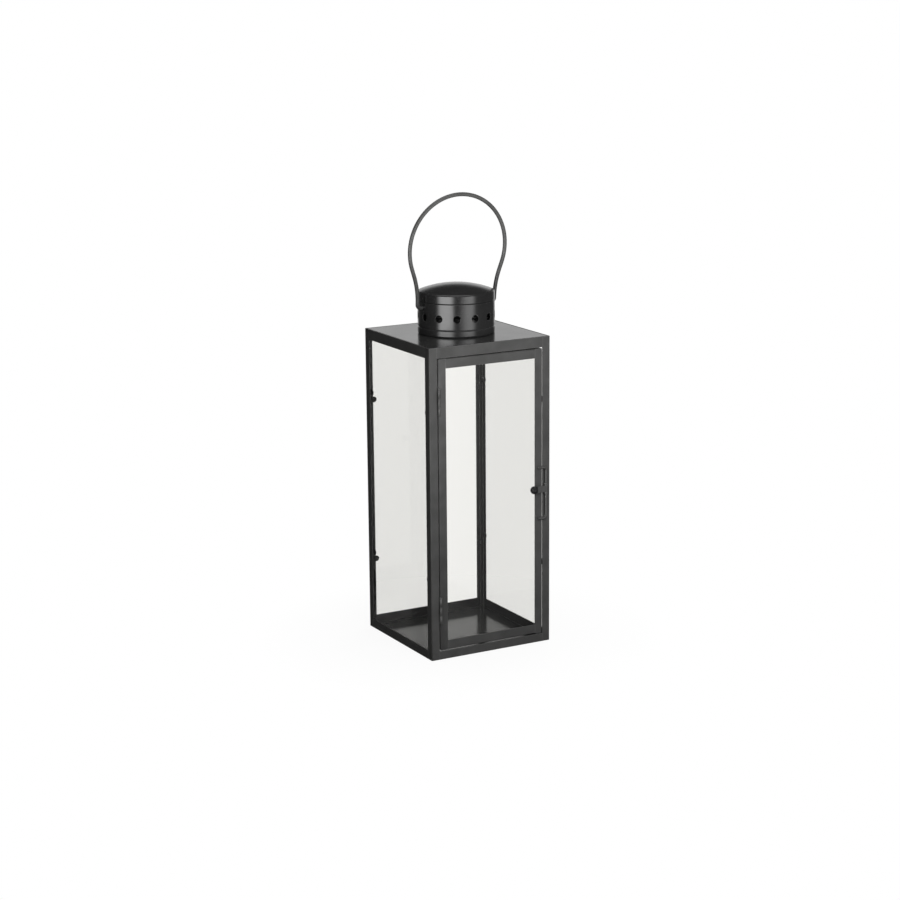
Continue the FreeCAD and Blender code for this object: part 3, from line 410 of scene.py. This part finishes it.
def studio_level(tree, glossy_depth):
    """What gloss shows: a dark studio with a white wall behind the lantern, two tall soft lights in front of
    it and a pale ceiling."""
    direction = tree.nodes.new("ShaderNodeTexCoord").outputs["Generated"]
    x, y, z = add(tree, "ShaderNodeSeparateXYZ", Vector=direction).outputs
    azimuth = math_node(tree, "ARCTAN2", x, math_node(tree, "MULTIPLY", y, -1.0))
    elevation = math_node(tree, "ARCSINE", z)
    twice = math_node(tree, "GREATER_THAN", glossy_depth, TWO_BOUNCES)
    higher = window(tree, elevation, STRIP_FOOT, STRIP_TOP_TWICE)
    upright = mix_level(tree, twice, window(tree, elevation, STRIP_FOOT, STRIP_TOP),
                        math_node(tree, "MULTIPLY", higher, STRIP_GAIN_TWICE))
    studio = STUDIO_DARK
    for left, right, level in STUDIO_STRIPS:
        strip = math_node(tree, "MULTIPLY", window(tree, azimuth, left, right), upright)
        studio = math_node(tree, "ADD", math_node(tree, "MULTIPLY", strip, level), studio)
    wall_middle = (-math.sin(CAMERA_AZIMUTH), math.cos(CAMERA_AZIMUTH), 0.0)
    across = smooth_step(tree, vector_value(tree, "DOT_PRODUCT", direction, wall_middle), *WALL_SIDES)
    wall = math_node(tree, "MULTIPLY", across, fade(tree, elevation, WALL_TOP))
    studio = math_node(tree, "ADD", studio, math_node(tree, "MULTIPLY", wall, WALL_LEVEL))
    ceiling = math_node(tree, "MULTIPLY", fade(tree, elevation, CEILING_FOOT), CEILING_LEVEL)
    return math_node(tree, "ADD", studio, ceiling)


def add_world():
    """White to the eye and through glass, a soft grey to matt surfaces, and the studio to gloss."""
    world = bpy.data.worlds.new("studio")
    bpy.context.scene.world = world
    tree = empty_tree(world, "ShaderNodeOutputWorld")
    world.cycles.sampling_method = "NONE"
    path = light_path(tree)
    studio = studio_level(tree, path["Glossy Depth"])
    mirrored = math_node(tree, "GREATER_THAN", path["Glossy Depth"], ONE_BOUNCE)
    scattered = math_node(tree, "GREATER_THAN", path["Diffuse Depth"], ONE_BOUNCE)
    level = mix_level(tree, scattered, mix_level(tree, mirrored, 1.0, studio), SOFT_LEVEL)
    light = add(tree, "ShaderNodeBackground", Color=grey(1.0), Strength=level)
    show(tree, light.outputs["Background"])


def add_lamp(name, place, target, side, level):
    """Square soft light that is seen neither straight, nor in gloss, nor through glass."""
    lamp = bpy.data.lights.new(name, "AREA")
    lamp.shape = "SQUARE"
    lamp.size = side
    away = Vector(target) - Vector(place)
    lamp.energy = level * math.pi ** 2 * away.length_squared
    holder = place_in_scene(name, lamp)
    holder.location = place
    holder.rotation_euler = away.to_track_quat("-Z", "Y").to_euler()
    holder.visible_camera = False
    holder.visible_glossy = False
    holder.visible_transmission = False


def add_camera():
    """Camera at the photograph's angle, distance and field of view."""
    flat = math.cos(CAMERA_ELEVATION)
    back = Vector((math.sin(CAMERA_AZIMUTH) * flat, -math.cos(CAMERA_AZIMUTH) * flat,
                   math.sin(CAMERA_ELEVATION)))
    camera = bpy.data.cameras.new("camera")
    camera.sensor_width = SENSOR_WIDTH
    camera.lens = FOCAL_PIXELS / IMAGE_WIDTH * SENSOR_WIDTH
    holder = place_in_scene("camera", camera)
    turn = (-back).to_track_quat("-Z", "Y").to_matrix().to_4x4() @ Matrix.Rotation(CAMERA_ROLL, 4, "Z")
    holder.matrix_world = Matrix.Translation(CAMERA_TARGET + back * CAMERA_DISTANCE) @ turn
    bpy.context.scene.camera = holder


dress_nodes()
add_floor()
add_world()
for lamp_name, lamp_values in LAMPS.items():
    add_lamp(lamp_name, *lamp_values)
add_camera()
bpy.context.scene.view_settings.view_transform = "Standard"
